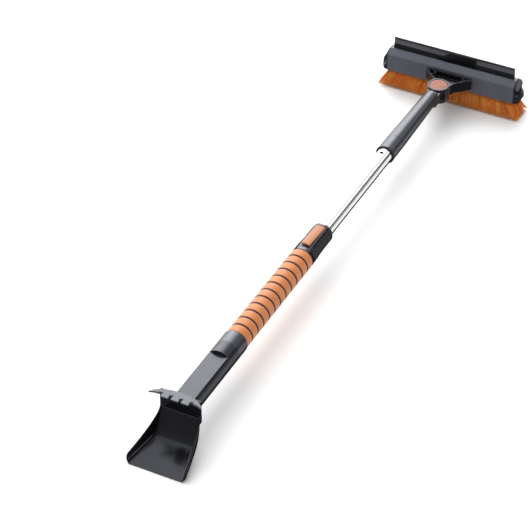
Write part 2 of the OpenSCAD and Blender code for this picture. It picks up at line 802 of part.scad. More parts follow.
// Ice comb: a ledge over the scoop with three square claws and a pointed horn at each end
module ice_comb() {
    tip = -comb_reach;
    color("lightgray") difference() {
        translate([0, crest_y, pole_height + flange_top]) linear_extrude(comb_thickness) difference() {
            polygon([
                [0, 2], [12, 1.3], [22, -0.9], [30, -4], [36.5, -8.5], [comb_half, tip + 1.5],
                [34, tip + 5], [1.5 * tooth_pitch + 2, tip + 6], [1.5 * tooth_pitch, tip],
                [-1.5 * tooth_pitch, tip], [-1.5 * tooth_pitch - 2, tip + 6], [-34, tip + 5],
                [-comb_half, tip + 1.5], [-36.5, -8.5], [-30, -4], [-22, -0.9], [-12, 1.3]
            ]);
            for (x = [-1.5, -0.5, 0.5, 1.5])
                translate([x * tooth_pitch, tip]) polygon([
                    [-notch / 2, -1], [notch / 2, -1], [notch / 2 + 0.5, 8.5], [-notch / 2 - 1.5, 7.5]
                ]);
        }
        translate([-50, crest_y + tip + 8, pole_height + flange_top]) rotate([-17, 0, 0])
            block([0, -14, -6], [100, 0, 0]);
    }
}

handle_tube();
foam_grip();
pole_ferrule();
lock_collar();
lock_end_ring();
lock_grip_pads();
lever_pivot_pin();
lever_spring();
lock_lever();
lock_pin();
extension_tube();
tube_guide_bushing();
neck_end_rim();
neck_socket();
neck_arm();
hub_cap();
cap_screws();
pivot_screw();
button_spring();
pivot_button();
index_gear();
pivot_bracket();
bracket_screws();
brush_housing();
housing_end_caps();
bristle_base();
bristles();
squeegee_holder();
squeegee_blade();
squeegee_clip();
scraper_arm();
arm_screw();
scoop_back();
scraper_scoop();
ice_comb();
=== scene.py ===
"""Looks of a telescoping snow brush with an ice scraper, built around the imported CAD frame.

Metres throughout. The pole lies along +Y, 55 mm above the ground, and the brush runs along X.
"""
import json
import math
import random

import bmesh
import bpy
from mathutils import Matrix, Vector


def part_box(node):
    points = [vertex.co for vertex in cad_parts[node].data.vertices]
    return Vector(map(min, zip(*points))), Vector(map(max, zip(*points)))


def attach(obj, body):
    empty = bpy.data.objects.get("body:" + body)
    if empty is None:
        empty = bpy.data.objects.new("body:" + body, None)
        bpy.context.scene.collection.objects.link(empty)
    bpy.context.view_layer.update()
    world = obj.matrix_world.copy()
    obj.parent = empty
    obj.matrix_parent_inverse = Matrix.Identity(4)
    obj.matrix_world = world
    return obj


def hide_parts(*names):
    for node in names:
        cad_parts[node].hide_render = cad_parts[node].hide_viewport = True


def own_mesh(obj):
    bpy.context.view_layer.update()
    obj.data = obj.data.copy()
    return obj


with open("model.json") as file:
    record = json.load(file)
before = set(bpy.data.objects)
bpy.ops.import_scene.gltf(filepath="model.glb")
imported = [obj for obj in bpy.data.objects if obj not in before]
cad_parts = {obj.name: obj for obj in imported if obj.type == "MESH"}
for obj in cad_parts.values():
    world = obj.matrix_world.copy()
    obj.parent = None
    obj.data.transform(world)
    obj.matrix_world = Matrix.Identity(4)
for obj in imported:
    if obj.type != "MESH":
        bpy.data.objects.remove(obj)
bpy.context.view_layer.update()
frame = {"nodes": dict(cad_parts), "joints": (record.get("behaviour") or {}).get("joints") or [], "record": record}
NODES = frame["nodes"]

MM = 0.001
TURN = 2 * math.pi
JUST_SHORT = 0.9999
POLE_Z = 55 * MM
SEED = 4107


# ---------- stations taken from the frame ----------

def middle(node):
    low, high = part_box(node)
    return (low + high) / 2


HUB = middle("pivot_button")


# ---------- node trees ----------

class Tree:
    """A node tree with short calls for the nodes that the looks share."""

    def __init__(self, tree):
        self.tree = tree

    def node(self, kind, **values):
        """A new node; a value goes to the property of that name, or else to the socket."""
        made = self.tree.nodes.new(kind)
        for key, value in values.items():
            if hasattr(made, key):
                setattr(made, key, value)
            else:
                made.inputs[key.replace("_", " ")].default_value = value
        return made

    def link(self, source, target):
        self.tree.links.new(source, target)

    def plug(self, value, socket):
        """A colour or number is set on the socket; anything else is linked to it."""
        if isinstance(value, tuple):
            socket.default_value = (*value, 1)
        elif isinstance(value, (float, int)):
            socket.default_value = value
        else:
            self.link(value, socket)

    def coordinates(self, kind):
        return self.node("ShaderNodeTexCoord").outputs[kind]

    def arithmetic(self, operation, first, second):
        made = self.node("ShaderNodeMath", operation=operation)
        self.plug(first, made.inputs[0])
        self.plug(second, made.inputs[1])
        return made.outputs["Value"]

    def vector(self, operation, first, second=None):
        """A vector math node; the second vector is a constant or a socket."""
        made = self.node("ShaderNodeVectorMath", operation=operation)
        self.link(first, made.inputs[0])
        if isinstance(second, tuple):
            made.inputs[1].default_value = second
        elif second is not None:
            self.link(second, made.inputs[1])
        return made

    def ramp(self, factor, stops):
        made = self.node("ShaderNodeValToRGB")
        elements = made.color_ramp.elements
        while len(elements) < len(stops):
            elements.new(0.5)
        for element, (position, colour) in zip(elements, stops):
            element.position = position
            element.color = (*colour, 1)
        self.link(factor, made.inputs["Fac"])
        return made.outputs["Color"]

    def remap(self, factor, low, high, start=0.3, end=0.7):
        """From low to high as the factor goes from start to end; noise mostly spans 0.3 to 0.7."""
        made = self.node(
            "ShaderNodeMapRange", From_Min=start, From_Max=end, To_Min=low, To_Max=high)
        self.link(factor, made.inputs["Value"])
        return made.outputs["Result"]

    def mix(self, factor, first, second):
        made = self.node("ShaderNodeMix", data_type="RGBA")
        for value, socket in ((factor, 0), (first, 6), (second, 7)):
            self.plug(value, made.inputs[socket])
        return made.outputs[2]


class Shader(Tree):
    """The node tree of a new material, around its Principled shader.

    Most materials link a pattern over the plain base colour that they start with.
    """

    def __init__(self, name, base, rough, metallic=0.0, specular=0.5):
        self.material = bpy.data.materials.new(name)
        self.material.use_nodes = True
        super().__init__(self.material.node_tree)
        self.bsdf = self.tree.nodes["Principled BSDF"]
        self.set("Base Color", (*base, 1))
        self.set("Roughness", rough)
        self.set("Metallic", metallic)
        self.set("Specular IOR Level", specular)
        self.coords = self.coordinates("Object")

    def set(self, socket, value):
        self.bsdf.inputs[socket].default_value = value

    def feed(self, socket, source):
        self.link(source, self.bsdf.inputs[socket])

    def height(self):
        """Height above the ground."""
        place = self.node("ShaderNodeSeparateXYZ")
        self.link(self.coords, place.inputs["Vector"])
        return place.outputs["Z"]

    def noise(self, scale, detail=3.0, roughness=0.55, stretch=(1, 1, 1)):
        made = self.node("ShaderNodeTexNoise", Scale=scale, Detail=detail, Roughness=roughness)
        mapping = self.node("ShaderNodeMapping", Scale=stretch)
        self.link(self.coords, mapping.inputs["Vector"])
        self.link(mapping.outputs["Vector"], made.inputs["Vector"])
        return made.outputs["Fac"]

    def bump(self, layers):
        """Bumps one over the other, from pairs of height and (strength, distance in mm)."""
        normal = None
        for height, (strength, distance) in layers:
            made = self.node("ShaderNodeBump", Strength=strength, Distance=distance * MM)
            self.link(height, made.inputs["Height"])
            if normal is not None:
                self.link(normal, made.inputs["Normal"])
            normal = made.outputs["Normal"]
        self.feed("Normal", normal)

    def edge_wear_and_highlight(self):
        """1 along sharp outer edges, 0 elsewhere: where edge wear and painted edge highlights go."""
        bevel = self.node("ShaderNodeBevel", samples=4, Radius=0.6 * MM)
        flat = self.node("ShaderNodeNewGeometry").outputs["Normal"]
        agreement = self.vector("DOT_PRODUCT", bevel.outputs["Normal"], flat).outputs["Value"]
        return self.remap(agreement, 1.0, 0.0, 0.86, 0.995)


# ---------- materials ----------

COOL_GLOSS = (0.84, 0.88, 1.0, 1)


def moulded(name, base, rough, grain=0.10, grain_mm=0.5, wear_and_edge_highlight=None, specular=0.5, mottling=0.12):
    """Moulded plastic: fine spark-eroded grain, faint cloudiness, handling marks in the gloss.

    A bluish grey has a bluish gloss. The edge colour shows along edges: partly wear, partly painted highlight.
    """
    s = Shader(name, base, rough, specular=specular)
    if base[2] > base[0]:
        s.set("Specular Tint", COOL_GLOSS)
    cloud = s.noise(38, 4)
    scuffs = s.noise(260, 5, 0.7, (1, 0.18, 1))
    grit = s.noise(2.0 / (grain_mm * MM), 2)
    darker = tuple(c * (1 - mottling) for c in base)
    lighter = tuple(min(1, c * (1 + mottling)) for c in base)
    colour = s.ramp(cloud, [(0.3, darker), (0.7, lighter)])
    # lighter edges: partly wear, partly painted highlight
    if wear_and_edge_highlight:
        colour = s.mix(s.edge_wear_and_highlight(), colour, wear_and_edge_highlight)
    s.feed("Base Color", colour)
    s.feed("Roughness", s.remap(scuffs, rough * 0.86, rough * 1.18))
    s.bump([(grit, (grain, 0.12)), (cloud, (0.06, 0.6))])
    return s.material


FOAM_DARK, FOAM_LIGHT = (0.54, 0.158, 0.024), (0.63, 0.195, 0.036)
# the groove colour is painted shade down in the grooves: full below the groove radius, gone at the skin radius
FOAM_GROOVE_SHADE = (0.085, 0.021, 0.010)
FOAM_GROOVE_RADIUS, FOAM_SKIN_RADIUS = 18.66 * MM, 18.86 * MM


def foam():
    """Foam: fine pores, soft sheen, and painted shade that darkens the grooves."""
    s = Shader("foam_orange", (0.76, 0.235, 0.045), 0.62, specular=0.5)
    centred = s.vector("SUBTRACT", s.coords, (0, 0, POLE_Z)).outputs["Vector"]
    across = s.vector("MULTIPLY", centred, (1, 0, 1)).outputs["Vector"]
    radius = s.vector("LENGTH", across).outputs["Value"]
    # painted shade: the groove colour fades out between the groove radius and the skin radius
    clear_of_groove_shade = s.remap(radius, 0.0, 1.0, FOAM_GROOVE_RADIUS, FOAM_SKIN_RADIUS)
    blotch = s.noise(55, 4)
    body = s.ramp(blotch, [(0.28, FOAM_DARK), (0.72, FOAM_LIGHT)])
    s.feed("Base Color", s.mix(clear_of_groove_shade, FOAM_GROOVE_SHADE, body))
    s.set("Sheen Weight", 1.0)
    s.set("Sheen Roughness", 0.4)
    s.set("Sheen Tint", (1.0, 0.78, 0.70, 1))
    s.feed("Roughness", s.remap(blotch, 0.46, 0.60))
    pores = s.node("ShaderNodeTexVoronoi", Scale=1500.0)
    s.link(s.coords, pores.inputs["Vector"])
    s.bump([(pores.outputs["Distance"], (0.22, 0.25)), (s.noise(420, 3), (0.18, 0.35))])
    return s.material


# painted shade: a dark ring round each punched hole, between the inner and the outer radius
PUNCHED_HOLE_SHADE = (0.03, 0.03, 0.035)
RIM_INNER, RIM_OUTER = 3.4 * MM, 3.9 * MM


def drawn_aluminium(name, base, rough, punched=()):
    """Anodised tube: die lines along the pole, faint handling smears, painted shade in a dark ring round each
    punched hole.
    """
    s = Shader(name, base, rough, metallic=1.0)
    lines = s.noise(900, 3, 0.6, (1, 0.012, 1))
    smears = s.noise(30, 4, 0.6)
    colour = s.ramp(lines, [(0.2, tuple(c * 0.93 for c in base)), (0.8, base)])
    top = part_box("extension_tube")[1].z
    # painted shade round each punched hole
    for y in punched:
        away = s.vector("DISTANCE", s.coords, (0, y, top)).outputs["Value"]
        colour = s.mix(s.remap(away, 0.0, 1.0, RIM_INNER, RIM_OUTER), PUNCHED_HOLE_SHADE, colour)
    s.feed("Base Color", colour)
    s.feed("Roughness", s.remap(smears, rough * 0.8, rough * 1.3))
    s.bump([(lines, (0.10, 0.05))])
    return s.material


# plain, dark and light
ZINC_TONES = ((0.62, 0.62, 0.64), (0.50, 0.50, 0.53), (0.68, 0.68, 0.70))


def zinc(name="zinc_steel", level=1.0):
    """Plated steel with a faint spangle; a level below 1 is darker."""
    base, dark, light = (tuple(c * level for c in tone) for tone in ZINC_TONES)
    s = Shader(name, base, 0.34, metallic=1.0)
    spangle = s.noise(700, 3, 0.6)
    s.feed("Base Color", s.ramp(spangle, [(0.3, dark), (0.7, light)]))
    s.feed("Roughness", s.remap(spangle, 0.26, 0.42))
    s.bump([(spangle, (0.12, 0.05))])
    return s.material


FILAMENT_TONES = [
    (0.0, (0.62, 0.12, 0.016)), (0.5, (1.0, 0.31, 0.048)), (1.0, (1.0, 0.54, 0.15)),
]
FILAMENT_TIP = (0.93, 0.42, 0.12)
DULL_TIP = 9 * MM


def filament():
    """Bristle filament: translucent orange plastic, each one its own shade, duller at the tip."""
    s = Shader("bristle_filament", (0.86, 0.27, 0.035), 0.42, specular=0.4)
    shade = s.node("ShaderNodeAttribute", attribute_name="shade").outputs["Fac"]
    tip = s.remap(s.height(), 1.0, 0.0, 0.0, DULL_TIP)
    s.feed("Base Color", s.mix(tip, s.ramp(shade, FILAMENT_TONES), FILAMENT_TIP))
    s.feed("Roughness", s.remap(s.noise(500, 2), 0.34, 0.50))
    s.set("Subsurface Weight", 0.85)
    s.set("Subsurface Radius", (2.0 * MM, 0.8 * MM, 0.25 * MM))
    return s.material


RUBBER_DARK, RUBBER_LIGHT = (0.070, 0.072, 0.080), (0.105, 0.108, 0.117)
RUBBER_BLACK = (0.011, 0.011, 0.013)
# below the blade's top and above its bottom, where the rubber is all grey and all black
LIP_GREY, LIP_BLACK = 3.4 * MM, 2.9 * MM
FOOT_GREY, FOOT_BLACK = 12.4 * MM, 11.0 * MM


def soft_rubber():
    """Squeegee rubber: matt grey web, bloomed by weather, with a blacker lip and foot bead."""
    s = Shader("soft_rubber", (0.10, 0.103, 0.11), 0.5, specular=0.4)
    low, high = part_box("squeegee_blade")
    height = s.height()
    lip = s.remap(height, 0.0, 1.0, high.z - LIP_GREY, high.z - LIP_BLACK)
    foot = s.remap(height, 1.0, 0.0, low.z + FOOT_BLACK, low.z + FOOT_GREY)
    bloom = s.noise(60, 5, 0.65, (0.4, 1, 1))
    web = s.ramp(bloom, [(0.3, RUBBER_DARK), (0.7, RUBBER_LIGHT)])
    s.feed("Base Color", s.mix(foot, s.mix(lip, web, RUBBER_BLACK), RUBBER_BLACK))
    s.feed("Roughness", s.remap(bloom, 0.42, 0.58))
    s.bump([(s.noise(5000, 2), (0.16, 0.08)), (bloom, (0.05, 0.4))])
    return s.material


def all_materials():
    """One material for each of the record's slots, by the slot's name."""
    slide = next(joint for joint in frame["joints"] if joint["name"] == "pole_slide")
    punched = [middle("lock_pin").y - shift for shift in slide["range_m"]]
    return {
        "aluminium_bare": drawn_aluminium("aluminium_bare", (0.72, 0.73, 0.75), 0.30),
        "aluminium_white": drawn_aluminium("aluminium_white", (0.92, 0.925, 0.94), 0.11, punched),
        "foam": foam(),
        "grey_plastic": moulded(
            "satin_charcoal", (0.016, 0.0165, 0.020), 0.29, 0.08, 0.45, (0.07, 0.072, 0.08)),
        "slate_plastic": moulded(
            "slate_housing", (0.080, 0.084, 0.102), 0.34, 0.14, 0.6, (0.16, 0.165, 0.175)),
        # the light grey edge colour of the black moulding is mostly painted highlight along its edges
        "black_plastic": moulded(
            "black_moulding", (0.009, 0.009, 0.012), 0.20, 0.08, 0.4, (0.30, 0.302, 0.32), 0.4),
        "gloss_black": moulded(
            "gloss_black", (0.006, 0.006, 0.008), 0.15, 0.05, 0.8, (0.07, 0.072, 0.08), 0.24),
        "comb_plastic": moulded(
            "comb_charcoal", (0.085, 0.087, 0.098), 0.32, 0.10, 0.4, (0.26, 0.265, 0.28)),
        "white_plastic": moulded("natural_acetal", (0.70, 0.69, 0.66), 0.40, 0.05, 0.4),
        "orange_plastic": moulded(
            "lever_orange", (0.45, 0.165, 0.060), 0.44, 0.10, 0.4, (0.62, 0.32, 0.18), 0.35),
        "salmon_plastic": moulded(
            "button_salmon", (0.34, 0.118, 0.080), 0.52, 0.20, 0.4, (0.56, 0.27, 0.21), 0.4, 0.28),
        "bristle": filament(),
        "rubber": soft_rubber(),
        "steel": zinc(),
    }


# ---------- mesh helpers ----------

def mesh_from(b, name):
    """The mesh of a bmesh, with its faces turned outward."""
    bmesh.ops.recalc_face_normals(b, faces=b.faces)
    mesh = bpy.data.meshes.new(name)
    b.to_mesh(mesh)
    b.free()
    return mesh


def new_object(name, mesh, material, body, stands_for):
    made = bpy.data.objects.new(name, mesh)
    bpy.context.scene.collection.objects.link(made)
    mesh.materials.append(material)
    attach(made, body)
    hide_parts(stands_for)
    return made


def smooth(mesh, angle):
    """Smooth shading with sharp edges kept where faces meet at more than the angle in degrees."""
    mesh.shade_smooth()
    b = bmesh.new()
    b.from_mesh(mesh)
    for edge in b.edges:
        if len(edge.link_faces) == 2 and edge.calc_face_angle(0) > math.radians(angle):
            edge.smooth = False
    b.to_mesh(mesh)
    b.free()


WELD_GAP = 0.004 * MM
FLAT_ANGLE, BEVEL_ANGLE = math.radians(0.6), math.radians(32)


def rounded(node, width):
    """Real rounded edges on a CAD node, from modifiers only: its own mesh stays as it is."""
    piece = NODES[node]
    weld = piece.modifiers.new("weld", "WELD")
    weld.merge_threshold = WELD_GAP
    planar = piece.modifiers.new("planar", "DECIMATE")
    planar.decimate_type = "DISSOLVE"
    planar.angle_limit = FLAT_ANGLE
    bevel = piece.modifiers.new("bevel", "BEVEL")
    bevel.width = width * MM
    bevel.segments = 2
    bevel.limit_method = "ANGLE"
    bevel.angle_limit = BEVEL_ANGLE
    bevel.use_clamp_overlap = True
    shading = piece.modifiers.new("shading", "WEIGHTED_NORMAL")
    shading.mode = "FACE_AREA_WITH_ANGLE"
    shading.weight = 80
    shading.keep_sharp = True
    for face in piece.data.polygons:
        face.use_smooth = True


def sculpted(node, voxel, passes):
    """A CAD node whose facets flow into one another, from modifiers only."""
    piece = NODES[node]
    clear_of_groove_shade = piece.modifiers.new("clear_of_groove_shade", "REMESH")
    clear_of_groove_shade.mode = "VOXEL"
    clear_of_groove_shade.voxel_size = voxel * MM
    clear_of_groove_shade.use_smooth_shade = True
    flow = piece.modifiers.new("flow", "SMOOTH")
    flow.factor, flow.iterations = 0.5, passes


def bridge(b, ring, other):
    """Faces between two rings of equally many points."""
    for k in range(len(ring)):
        m = (k + 1) % len(ring)
        b.faces.new((ring[k], ring[m], other[m], other[k]))


def lofted(name, sections):
    """Closed solid through sections that have equally many points, with capped ends."""
    b = bmesh.new()
    rings = [[b.verts.new(p) for p in section] for section in sections]
    for ring, other in zip(rings, rings[1:]):
        bridge(b, ring, other)
    b.faces.new(rings[0])
    b.faces.new(list(reversed(rings[-1])))
    return mesh_from(b, name)


def revolved(name, profile, steps):
    """Closed solid of revolution about the pole's centre line from a closed (radius, y) outline."""
    b = bmesh.new()
    rings = []
    for radius, y in profile:
        rings.append([
            b.verts.new((radius * math.sin(TURN * k / steps), y,
                         POLE_Z + radius * math.cos(TURN * k / steps)))
            for k in range(steps)
        ])
    for i, ring in enumerate(rings):
        bridge(b, ring, rings[(i + 1) % len(rings)])
    return mesh_from(b, name)


# ---------- foam grip ----------

FOAM_BORE = 15.02 * MM
FOAM_RINGS = 12
FOAM_SHOULDER, FOAM_DEPTH = 3.0 * MM, 2.2 * MM
FOAM_LOW, FOAM_PLUMP = 0.16 * MM, 0.12 * MM


def foam_grip(material):
    """Sleeve of twelve plump rings; the skin is a little uneven, as cut foam is."""
    low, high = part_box("foam_grip")
    outer = (high.x - low.x) / 2
    pitch = (high.y - low.y) / FOAM_RINGS
    near_edge = [0.0, 0.012, 0.03, 0.055, 0.09, 0.15, 0.25, 0.4, 0.6, 0.8, 1.0]
    across = [t * FOAM_SHOULDER / pitch for t in near_edge] + [0.28, 0.39, 0.5, 0.61, 0.72]
    across += [1 - t * FOAM_SHOULDER / pitch for t in reversed(near_edge)]
    profile = [(FOAM_BORE, low.y)]
    for i in range(FOAM_RINGS):
        start = low.y + i * pitch
        for u in across:
            rise = min(1.0, min(u, 1 - u) * pitch / FOAM_SHOULDER)
            fall = FOAM_DEPTH * (1 - math.sqrt(1 - (1 - rise) ** 2))
            radius = outer - FOAM_LOW - fall + FOAM_PLUMP * math.sin(math.pi * u)
            profile.append((radius, start + u * pitch * JUST_SHORT))
    profile.append((FOAM_BORE, high.y))
    mesh = revolved("foam_sleeve", profile, 120)
    draw = random.Random(SEED)
    first, second = (draw.uniform(0, TURN) for _ in range(2))
    for v in mesh.vertices:
        dx, dz = v.co.x, v.co.z - POLE_Z
        if math.hypot(dx, dz) > FOAM_BORE + 1 * MM:
            a = math.atan2(dx, dz)
            y = v.co.y / pitch
            wave = math.sin(3 * a + 1.7 * y + first) + math.sin(5 * a - 2.3 * y + second)
            scale = 1 - 0.0008 * (1 + wave / 2)
            v.co.x, v.co.z = dx * scale, POLE_Z + dz * scale
    smooth(mesh, 75)
    made = new_object("foam_sleeve", mesh, material, "handle", "foam_grip")


# ---------- bristles ----------

TUFT_ROWS, TUFTS_IN_ROW, FILAMENTS_IN_TUFT = 6, 76, 19
FILAMENT_SIDES, FILAMENT_RINGS = 3, 4
ROOT_HALF_X, ROOT_HALF_Y = 112.5 * MM, 10.2 * MM
TIP_INSET_X, TIP_INSET_Y = 1.2 * MM, 1.0 * MM
# half width of one tuft at its roots and at its tips, and how ragged the tips are
TUFT_ROOT_X, TUFT_ROOT_Y = 1.7 * MM, 1.3 * MM
TUFT_TIP_X, TUFT_TIP_Y = 2.9 * MM, 3.0 * MM
RAGGED_X, RAGGED_Y, RAGGED_Z = 0.45 * MM, 0.6 * MM, 1.1 * MM
OUTER_RISE, HIGHEST_TIP = 1.5 * MM, 6 * MM
FILAMENT_BOW = 0.5 * MM
THINNEST_MM, THICKEST_MM, TIP_TAPER = 0.24, 0.33, 0.35
TUFT_SHADE, FILAMENT_SHADE = 0.24, 0.22


def clamped(value, limit):
    return max(-limit, min(limit, value))


class BristleField:
    """Tufts in staggered rows, each a bundle of fine filaments that flares and ends ragged."""

    def __init__(self):
        low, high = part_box("bristles")
        self.centre_y = (low.y + high.y) / 2
        self.root_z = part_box("bristle_base")[0].z - 0.4 * MM
        self.tip_half_x = (high.x - low.x) / 2 - TIP_INSET_X
        self.tip_half_y = (high.y - low.y) / 2 - TIP_INSET_Y
        self.draw = random.Random(SEED + 1)
        self.verts, self.faces, self.shades = [], [], []
        for row in range(TUFT_ROWS):
            v = row / (TUFT_ROWS - 1) * 2 - 1
            for column in range(TUFTS_IN_ROW):
                u = (column + 0.5 * (row % 2)) / (TUFTS_IN_ROW - 0.5) * 2 - 1
                tuft_shade = self.draw.uniform(-TUFT_SHADE, TUFT_SHADE)
                for _ in range(FILAMENTS_IN_TUFT):
                    self.add_filament(u, v, tuft_shade)

    def add_filament(self, u, v, tuft_shade):
        """One filament of the tuft that stands at u along and v across the brush, each -1 to 1."""
        draw = self.draw
        spread = draw.uniform(0, TURN)
        away = math.sqrt(draw.random())
        dx, dy = away * math.cos(spread), away * math.sin(spread)
        root = Vector((u * ROOT_HALF_X + TUFT_ROOT_X * dx,
                       self.centre_y + v * ROOT_HALF_Y + TUFT_ROOT_Y * dy, self.root_z))
        tip_x = u * self.tip_half_x + TUFT_TIP_X * dx + draw.gauss(0, RAGGED_X)
        tip_y = v * self.tip_half_y + TUFT_TIP_Y * dy + draw.gauss(0, RAGGED_Y)
        tip_x, tip_y = clamped(tip_x, self.tip_half_x), clamped(tip_y, self.tip_half_y)
        rise = abs(draw.gauss(0, RAGGED_Z)) + OUTER_RISE * (tip_y / self.tip_half_y) ** 2
        tip = Vector((tip_x, self.centre_y + tip_y, min(rise, HIGHEST_TIP)))
        bend = Vector((draw.gauss(0, FILAMENT_BOW), draw.gauss(0, FILAMENT_BOW), 0))
        radius = draw.uniform(THINNEST_MM, THICKEST_MM) * MM
        own_shade = draw.uniform(-FILAMENT_SHADE, FILAMENT_SHADE)
        shade = min(1.0, max(0.0, 0.5 + tuft_shade + own_shade))
        self.add_strand(root, tip, bend, radius, spread, shade)

    def add_strand(self, root, tip, bend, radius, turned, shade):
        """A tapering, bowed prism from root to tip."""
        base, sides, last = len(self.verts), FILAMENT_SIDES, FILAMENT_RINGS - 1
        for ring in range(FILAMENT_RINGS):
            t = ring / last
            centre = root.lerp(tip, t) + bend * math.sin(math.pi * t)
            thin = radius * (1 - TIP_TAPER * t)
            for k in range(sides):
                a = TURN * k / sides + turned
                self.verts.append(centre + Vector((thin * math.cos(a), thin * math.sin(a), 0)))
                self.shades.append(shade)
        for ring in range(last):
            for k in range(sides):
                a, b = base + ring * sides + k, base + ring * sides + (k + 1) % sides
                self.faces.append((a, a + sides, b + sides, b))
        self.faces.append(tuple(base + k for k in range(sides)))
        self.faces.append(tuple(base + last * sides + k for k in reversed(range(sides))))

    def build(self, material):
        mesh = bpy.data.meshes.new("bristle_strands")
        mesh.from_pydata(self.verts, [], self.faces)
        attribute = mesh.attributes.new("shade", "FLOAT", "POINT")
        attribute.data.foreach_set("value", self.shades)
        mesh.shade_smooth()
        new_object("bristle_strands", mesh, material, "brush_head", "bristles")


# ---------- button spring ----------

SPRING_WIRE = 0.5 * MM
SPRING_TURNS, STEPS_PER_TURN, WIRE_SIDES = 5.5, 28, 8
CLOSED_END = 0.75


def button_spring(material):
    """Coiled return spring with closed ends, pressed flat between the hub and the button's gear."""
    low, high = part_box("button_spring")
    radius = (high.x - low.x) / 2 - SPRING_WIRE
    climb = high.z - low.z - 2 * SPRING_WIRE
    sections = []
    for i in range(int(SPRING_TURNS * STEPS_PER_TURN) + 1):
        turns = i / STEPS_PER_TURN
        t = min(1.0, max(0.0, (turns - CLOSED_END) / (SPRING_TURNS - 2 * CLOSED_END)))
        a = TURN * i / STEPS_PER_TURN
        out = Vector((math.cos(a), math.sin(a), 0))
        centre = Vector((0, HUB.y, low.z + SPRING_WIRE + climb * t))
        section = []
        for k in range(WIRE_SIDES):
            c = TURN * k / WIRE_SIDES
            lift = Vector((0, 0, SPRING_WIRE * math.sin(c)))
            section.append(centre + out * (radius + SPRING_WIRE * math.cos(c)) + lift)
        sections.append(section)
    mesh = lofted("return_spring", sections)
    smooth(mesh, 60)
    made = new_object("return_spring", mesh, material, "pole", "button_spring")
    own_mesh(made)


# ---------- squeegee ----------

# half the blade's outline: distance from its middle in mm, height as a share of the whole
BLADE_OUTLINE = [
    (1.75, 0.00), (1.75, 0.44), (1.72, 0.50), (1.15, 0.56), (0.90, 0.64), (0.88, 0.74),
    (1.10, 0.82), (1.62, 0.88), (1.72, 0.905), (1.60, 0.925), (0.82, 0.935), (0.74, 0.97),
    (0.60, 1.0),
]
BLADE_STATIONS = 110
BLADE_WAVES = (70, 130, 210, 330)
# the lip leans and its edge dips in waves: from which share of the height, over which share, how far
LEAN_START, LEAN_SPAN, LEAN = 0.55, 0.45, 0.32 * MM
DROP_START, DROP_SPAN, DROP = 0.93, 0.07, 0.25 * MM


def squeegee_rubber(material):
    """Rubber blade: waisted web, a bead at the foot and a lip whose edge is slightly wavy."""
    low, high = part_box("squeegee_blade")
    centre_y = (low.y + high.y) / 2
    height = high.z - low.z
    ring = BLADE_OUTLINE + [(-across, t) for across, t in reversed(BLADE_OUTLINE)]
    draw = random.Random(SEED + 2)
    phases = [draw.uniform(0, TURN) for _ in BLADE_WAVES]
    sections = []
    for i in range(BLADE_STATIONS + 1):
        x = low.x + (high.x - low.x) * i / BLADE_STATIONS
        wave = sum(math.sin(x * f + p) for f, p in zip(BLADE_WAVES, phases)) / len(BLADE_WAVES)
        section = []
        for across, t in ring:
            lean = max(0.0, (t - LEAN_START) / LEAN_SPAN)
            drop = DROP * max(0.0, t - DROP_START) / DROP_SPAN * (1 + wave)
            section.append((x, centre_y + across * MM + LEAN * wave * lean ** 2,
                            low.z + height * t - drop))
        sections.append(section)
    mesh = lofted("squeegee_rubber", sections)
    smooth(mesh, 40)
    new_object("squeegee_rubber", mesh, material, "brush_head", "squeegee_blade")


# ---------- scoop ----------

SCOOP_HALF_NECK = 32 * MM
SCOOP_SPLAY = 0.219
SCOOP_CORNER = 8 * MM
SCOOP_WALL, SCOOP_EDGE = 2.5 * MM, 1.0 * MM
SCOOP_FRONT = 11 * MM
SCOOP_FILLET = 7 * MM
SCOOP_STATIONS, STATION_CROWDING, FILLET_STEPS = 64, 1.35, 10
# the floor starts below the pole, dips within a few dip lengths and slopes on to the front
FLOOR_TOP, FLOOR_DIP, DIP_LENGTH, FLOOR_SLOPE = 4 * MM, 38 * MM, 7 * MM, 12 * MM
# the rim falls by its slope along the run, but stays a little above the floor
RIM_SLOPE, RIM_CURVE, LOWEST_RIM = 45 * MM, 0.55, 0.4 * MM


